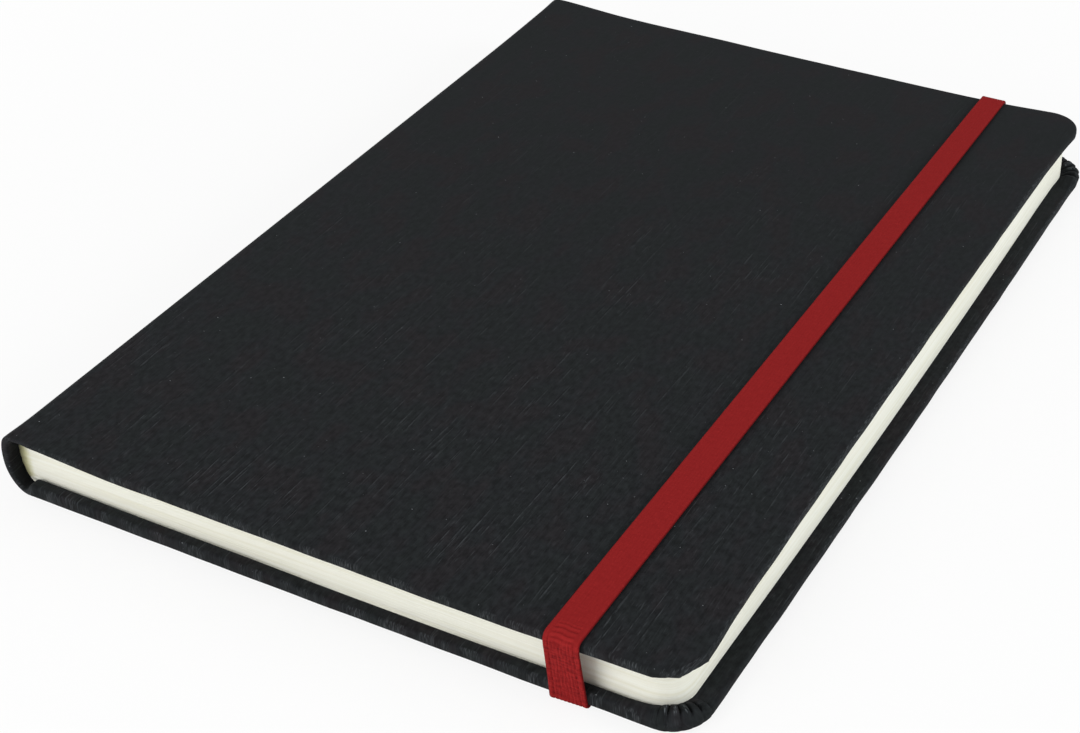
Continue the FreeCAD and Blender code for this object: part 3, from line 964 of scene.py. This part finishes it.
# Pastedown: glued over the board and the edges of the turned-in cloth, which show through it as a low
# step, down into the joint, under the shoulder along the ellipse at its depth, and round to the flyleaf's
# edge. Its other side is the same grid set off along the normal by its thickness.
def pastedown(name, side):
    v, case, cover = paperValues, caseValues, covers[side]
    way = cover["way"]
    low, high = corners(side + "_pastedown")
    r, fore, d = v["cornerRadius"], high[0], v["shoulder"]
    first, last, count = v["curl"]
    angle = np.radians(np.linspace(first, last, count))
    gap, foldH = v["foldGap"]
    curlX = np.append(v["foldX"] + gap, spineLine - (bulge - d) * np.cos(angle))
    curlH = np.append(foldH, (halfThick - d) * np.sin(angle))
    linesX, linesY = v["clothLines"]
    stepX = cover["fore"] - case["turnIn"]
    flat = lines(spineLine, fore - r, v["fineStep"], [*v["jointLines"], *(stepX + linesX)])
    x = np.concatenate([curlX, flat, fore - r + r * np.linspace(0, 1, 9)[1:]])
    steps = [*(cover["tail"] + case["turnIn"] + linesY), *(cover["head"] - case["turnIn"] - linesY)]
    glued = [y + w for y, _, _ in cover["slits"] for w in v["bandLines"]]
    y = cornered(low[1], high[1], r, v["fineStep"], steps + glued, both=True)
    x, y = roundCorners(*np.meshgrid(x, y, indexing="ij"), fore, low[1], high[1], r)
    ends = np.minimum(y - cover["tail"], cover["head"] - y)
    edge = np.minimum(ends, cover["fore"] - x) - case["turnIn"]
    depth = coverThick(cover, x, ends) - case["cloth"] * ease(edge, *v["clothEdge"]) + v["over"]
    past, over = v["boardEdge"]
    depth = mixed(v["joint"], depth, ease(x, cover["boardX"] + past, over))
    past, over = v["bandEdge"]
    for slitY, x0, x1 in cover["slits"]:  # the glued ends of the elastic show through
        inward = (y - slitY) * (1 if slitY < 0 else -1)
        shown = ease(x - x0, past, over) * ease(x1 - x, past, over)
        depth += v["bandHigh"] * shown * ease(inward, past, over) * ease(v["bandLong"] - inward, 0, over)
    joining, truing = v["easeOff"]
    depth = mixed(v["shoulder"], depth, ease(x, spineLine, joining))
    h = halfThick - depth
    h[: len(curlX)] = curlH[:, None]
    held = np.concatenate([np.zeros(len(curlX)), ease(flat, spineLine, truing), np.ones(8)])[:, None]
    moveX, moveY, lift = outOfTrue(cover, x, y)
    x, y, h = x + held * moveX, y + held * moveY, h + held * way * lift
    h -= heapHigh(cover, x, y)
    n = np.gradient(np.stack([x, h]), axis=1)
    n = np.stack([-n[1], n[0]]) / np.maximum(np.hypot(n[0], n[1]), tiny) * v["thick"]
    top = np.stack([x, y, midZ + way * h], -1)
    bottom = np.stack([x - n[0], y, midZ + way * (h - n[1])], -1)
    piece = putMesh(name, *slab(top, [], bottom, closed=True), endpaper, flip=way < 0)
    start, degrees, long = v["bend"]
    a = math.radians(degrees)
    bend(piece, side, start, np.array(start) + long * np.array([math.cos(a), math.sin(a)]))
    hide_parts(side + "_pastedown")


for side in ("front", "back"):
    flyleaf(side + "Flyleaf", side)
    pastedown(side + "Pastedown", side)
print("endpapers made")


bandLow, bandHigh = corners("elastic_band")

bandValues = {
    "width": 7.2,
    "widths": (7.7, 7.25, 6.1, 6.7),  # stretched: at the tail's foot and top and the head's top and foot
    "thick": 0.72,
    "clear": 0.05,  # of the covers' edges
    "sunk": 0.2,  # into the front cover's tail edge, which gives
    "radii": (0, 0.45, 0.45, 0.85, 4, 1.4, 0.85, 4, 0.85, 0.45, 0.45, 0),  # of its turns
    "gluedEnd": 16.0,
    "steps": (0.16, 3.0, 0.14),  # between points at a turn, how much more on a straight, and down the tail
    "stepEase": (1.6, 8),  # from where past a turn, and over how much, they grow
    "seamed": 7,  # how far past the tail's turn the fine steps go on
    "lines": (0.3, 6, 0.34, 61),  # across: a selvedge's rounding and points, the flat's inset and points
    "selvedge": 1.05,
    "round": (0.03, 0.6, 0.05),  # how blunt a selvedge is, the power it is rounded by, and its least height
    "sides": (0.93, 0.3),  # the height beside the selvedge as a share, and what it loses where slack
    "ribMm": 0.72,
    "ribDeep": 0.09,
    "ribPower": 0.8,
    "taut": 0.2,  # share of the ribs' depth left where the band is pulled flat
    "dashMm": 1.3,  # along the selvedge's seam
    "seam": (0.13, 0.9, 0.18, 0.25),  # half its width, its height as a share, what seam and dashes take off
    "slackFrom": (-1.5, 1.5),  # from where by the tail's foot, and over how much, the band goes slack
    "slackTo": (-1.8, 2.2),  # and where by the tail's turn it is taut again
    "slant": (0.22, 2.5),  # of its foot, where it turns under the back cover, and its reach
    "wrinkleMm": 1.05,
    "wrinkleHigh": 0.22,
    "wrinkled": (-1.3, 1.0, 4.8, 2.0),  # where past the tail's turn they begin and end, each over how much
    "wrinkleIn": 0.5,  # over how much they rise beside the selvedges
    "lean": (0.3, -0.05, 0.3, 0.2),  # sideways, in the order of the widths
}


# A cornered line with every corner turned into an arc: the arc's points are the turned mean of its two ends
def roundedLine(corner, radius):
    parts = [corner[:1]]
    for i in range(1, len(corner) - 1):
        a, b = corner[i - 1] - corner[i], corner[i + 1] - corner[i]
        a, b = a / np.linalg.norm(a), b / np.linalg.norm(b)
        half = math.acos(np.clip(a @ b, -1, 1)) / 2
        middle = corner[i] + (a + b) / np.linalg.norm(a + b) * radius[i] / math.sin(half)
        first, last = (corner[i] + way * radius[i] / math.tan(half) - middle for way in (a, b))
        sweep = math.pi - 2 * half
        t = np.linspace(0, 1, 15)[:, None]
        parts.append(middle + (first * np.sin((1 - t) * sweep) + last * np.sin(t * sweep)) / math.sin(sweep))
    parts.append(corner[-1:])
    return np.concatenate(parts)


# The line that the band follows in Y and Z, from one glued end, out through its slit, round both covers
# and in again, with the place of each corner along it, and points closer together at the turns and down
# the tail
def bandLine():
    v = bandValues
    t, cover = v["thick"], caseValues["coverThick"]
    slitTail, slitHead = (s[0] for s in covers["back"]["slits"])
    inside = corners("back_board")[1][2] - t / 2
    low, top = bandLow[2] + t / 2, bandHigh[2] - t / 2
    ends, lifts = {}, {}
    for side in ("front", "back"):
        for end, way in (("tail", -1), ("head", 1)):
            at = covers[side][end]
            _, moveY, lift = outOfTrue(covers[side], (bandLow[0] + bandHigh[0]) / 2, at)
            ends[side, end], lifts[side, end] = at + moveY + way * (v["clear"] + t / 2), lift
    frontTail, frontHead = ends["front", "tail"] - v["sunk"], ends["front", "head"]
    backTail, backHead = ends["back", "tail"], ends["back", "head"]
    corner = np.array([
        (slitTail + v["gluedEnd"], inside), (slitTail, inside), (slitTail, low), (backTail, low),
        (frontTail, top - t / 2 - cover), (frontTail, top + lifts["front", "tail"]),
        (frontHead, top + lifts["front", "head"]), (backHead, low + t / 2 + cover), (backHead, low),
        (slitHead, low), (slitHead, inside), (slitHead - v["gluedEnd"], inside),
    ])
    line = roundedLine(corner, v["radii"])
    length = lengthAlong(line)
    marks = [length[np.argmin(np.linalg.norm(line - c, axis=1))] for c in corner]
    dense = np.linspace(0, length[-1], 20000)
    near = np.abs(dense[:, None] - np.array(marks)).min(axis=1)
    fine, coarse, finest = v["steps"]
    step = fine + coarse * ease(near, *v["stepEase"])
    step = np.where((dense > marks[3]) & (dense < marks[5] + v["seamed"]), finest, step)
    count = np.append(0, np.cumsum(np.diff(dense) / step[1:]))
    s = np.interp(np.linspace(0, count[-1], int(count[-1])), count, dense)
    return s, marks, np.interp(s, length, line[:, 0]), np.interp(s, length, line[:, 1])


# The band: a flat section carried along a line round both covers, its points set off along the line's
# normal. Across it, the thickness falls to each rib's groove as a power of a cosine and is a flat ellipse
# at the two selvedges. Down the tail it is slack: the ribs stand out, and over the turn its middle
# wrinkles as a power of a sine of the length.
def elasticBand():
    v = bandValues
    half = v["thick"] / 2
    s, marks, y, z = bandLine()
    dy, dz = np.gradient(y, s), np.gradient(z, s)
    normal = np.stack([-dz, dy]) / np.hypot(dy, dz)
    stations = [marks[i] for i in (2, 3, 5, 6, 8, 9)]
    sideways = np.interp(s, stations, [0, *v["lean"], 0])[:, None]
    wide = np.interp(s, stations, [v["width"], *v["widths"], v["width"]])[:, None] / v["width"]
    slack = (ease(s - marks[3], *v["slackFrom"]) * (1 - ease(s - marks[5], *v["slackTo"])))[:, None]

    halfWide = v["width"] / 2
    rounding, few, inset, many = v["lines"]
    turned = halfWide - rounding * (1 - np.sin(np.linspace(0, quarter, few)))
    flat = np.linspace(inset - halfWide, halfWide - inset, many)
    across = np.unique(np.concatenate([-turned, flat, turned]).round(5))
    edge = (halfWide - np.abs(across))[None, :]
    cord = v["selvedge"]
    blunt, power, least = v["round"]
    beside, loses = v["sides"]
    rib = np.abs(np.cos(math.pi * across / v["ribMm"])) ** v["ribPower"]
    deep = v["ribDeep"] * mixed(v["taut"], 1, slack)
    middle = half * beside - deep * (1 - rib)
    selvedge = half * np.sqrt(np.clip(1 - ((edge - cord / 2) / (cord / 2 + blunt)) ** 2, 0, 1)) ** power
    selvedge = np.where(edge > cord / 2, np.maximum(selvedge, half * (beside - loses * slack)), selvedge)
    rise = np.where(edge < cord, np.maximum(selvedge, least), middle)
    narrow, high, low, dashed = v["seam"]
    dash = 0.5 + 0.5 * np.sin(2 * math.pi * s / v["dashMm"])[:, None]
    rise = np.where(np.abs(edge - cord) < narrow, half * (high - (low + dashed * dash) * slack), rise)

    beyond = s[:, None] - marks[5]
    first, rises, last, falls = v["wrinkled"]
    window = ease(beyond, first, rises) * ease(last - beyond, 0, falls) * ease(edge, cord, v["wrinkleIn"])
    bowed = beyond + 0.22 * (across / halfWide) ** 2 + 0.1 * np.sin(across * 1.9)
    bowed = bowed + 0.15 * np.sin(beyond * 1.7)
    ripple = (np.abs(np.sin(math.pi * bowed / v["wrinkleMm"])) ** 0.7 - 0.6) * window
    offs = np.concatenate([rise + v["wrinkleHigh"] * ripple, -rise[:, ::-1]], axis=1)
    both = np.append(across, across[::-1])[None, :]
    x = (bandLow[0] + bandHigh[0]) / 2 + sideways + both * wide
    slant, reach = v["slant"]
    slanted = slant * both / halfWide * np.exp(-(((s - marks[3]) / reach) ** 2))[:, None]
    y, z = (place[:, None] + along[:, None] * offs for place, along in zip((y, z), normal))
    index = np.arange(x.size).reshape(x.shape)
    n = len(across)
    caps = [quads(np.stack([row[:n], row[n:][::-1]])) for row in (index[0], index[-1])]
    around = quads(np.column_stack([index, index[:, 0]]))
    faces = np.concatenate([around, caps[0], caps[1][:, ::-1]])[:, ::-1]
    # Painted shade for the colour: how high the surface stands, darker in the ribs' grooves and at the
    # seams, with the wrinkles' ripple on the upper face
    proud = np.clip((rise / half - 0.5) / 0.43, 0, 1)
    kept = {
        "bandPlace": np.stack([both + 0 * x, s[:, None] + 0 * x, 0 * x], -1).reshape(-1, 3),
        "ribHeight": np.concatenate([proud + 1.2 * ripple, proud[:, ::-1]], axis=1).ravel(),
        "slack": (slack + 0 * x).ravel(),
    }
    return putMesh("elasticBand", np.stack([x, y + slanted, z], -1).reshape(-1, 3), faces, elastic, kept)


band = elasticBand()
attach(band, "elastic")
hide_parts("elastic_band")
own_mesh(band)
print("elastic made")


studioValues = {
    "floor": "#F4F4F3",
    "floorSize": 3000.0,
    "whitens": {"From Min": 0.1, "From Max": 0.35, "To Min": 0.84, "To Max": 1.0},  # by metres from the book
    "world": 0.5,
    "lights": {
        "key": {"from": (-0.35, -1.1, 0.65), "size": 0.9, "power": 9.0, "colour": "#FFFFFF"},
        "fill": {"from": (-0.9, -0.35, 0.9), "size": 1.0, "power": 2.0, "colour": "#FFFFFF"},
        "side": {"from": (1.15, 0.3, 0.5), "size": 0.6, "power": 8.0, "colour": "#F8FCFF"},
    },
}
white = (1, 1, 1, 1)


# Floor: a wide matt sheet. The camera sees it lit nearly to white, and it keeps the book's shadow.
def studioFloor():
    v = studioValues
    material, tree = newMaterial("StudioPaperMatt")
    path, place = addNode(tree, "LightPath"), addNode(tree, "TexCoord")
    away = addNode(tree, "VectorMath", {"operation": "LENGTH"}, {0: (place, "Object")})
    spread = addNode(tree, "MapRange", v["whitens"], {"Value": (away, "Value")})
    matt = addNode(tree, "BsdfDiffuse", {"Color": linear(v["floor"])})
    glow = addNode(tree, "Emission", {"Color": white, "Strength": 1.0})
    share = addNode(tree, "Math", {"operation": "MULTIPLY"}, {0: spread, 1: (path, "Is Camera Ray")})
    mixedLight = addNode(tree, "MixShader", None, {"Fac": share, 1: matt, 2: glow})
    addNode(tree, "OutputMaterial", None, {"Surface": mixedLight})
    points = np.array([(-1, -1, 0), (1, -1, 0), (1, 1, 0), (-1, 1, 0)]) * v["floorSize"]
    putMesh("studioFloor", points, np.array([(0, 1, 2, 3)]), material)


# A square soft light that looks at the book
def areaLight(name, values):
    lamp = bpy.data.lights.new(name, "AREA")
    lamp.shape = "SQUARE"
    lamp.size, lamp.energy, lamp.color = values["size"], values["power"], linear(values["colour"])[:3]
    holder = bpy.data.objects.new(name, lamp)
    holder.location = values["from"]
    holder.rotation_euler = (-Vector(values["from"])).to_track_quat("-Z", "Y").to_euler()
    bpy.context.scene.collection.objects.link(holder)


# White all round: full white to the camera, and a soft light on the book
def whiteWorld():
    world = bpy.data.worlds.new("StudioWhite")
    world.use_nodes = True
    tree = world.node_tree
    tree.nodes.clear()
    path = addNode(tree, "LightPath")
    levels = {"To Min": studioValues["world"], "To Max": 1.0}
    level = addNode(tree, "MapRange", levels, {"Value": (path, "Is Camera Ray")})
    sky = addNode(tree, "Background", {"Color": white}, {"Strength": level})
    addNode(tree, "OutputWorld", None, {"Surface": sky})
    bpy.context.scene.world = world


studioFloor()
for name, values in studioValues["lights"].items():
    areaLight(name + "Light", values)
whiteWorld()
bpy.context.scene.view_settings.view_transform = "Standard"

cameraValues = {
    "azimuth": 27.01,
    "elevation": 36.32,
    "roll": -0.23,
    "distance": 0.4456,
    "lookAt": (0.0276, -0.0061, 0.0),
    "lens": 66.87,
    "sensor": 36,
    "shiftX": -0.148,
    "near": 0.01,
}


# Camera: azimuth counted from the tail towards the fore edge, then turned by roll about its own view
def makeCamera():
    v = cameraValues
    a, e, roll = (math.radians(v[k]) for k in ("azimuth", "elevation", "roll"))
    back = Vector((math.sin(a) * math.cos(e), -math.cos(a) * math.cos(e), math.sin(e)))
    right = Vector((math.cos(a), math.sin(a), 0))
    up = back.cross(right)
    right, up = math.cos(roll) * right + math.sin(roll) * up, math.cos(roll) * up - math.sin(roll) * right
    camera = bpy.data.objects.new("camera", bpy.data.cameras.new("camera"))
    turn = Matrix((right, up, back)).transposed().to_4x4()
    camera.matrix_world = Matrix.Translation(Vector(v["lookAt"]) + back * v["distance"]) @ turn
    camera.data.lens, camera.data.sensor_width, camera.data.shift_x = v["lens"], v["sensor"], v["shiftX"]
    camera.data.clip_start = v["near"]
    bpy.context.scene.collection.objects.link(camera)
    bpy.context.scene.camera = camera


makeCamera()
print("studio made")

bpy.context.view_layer.update()
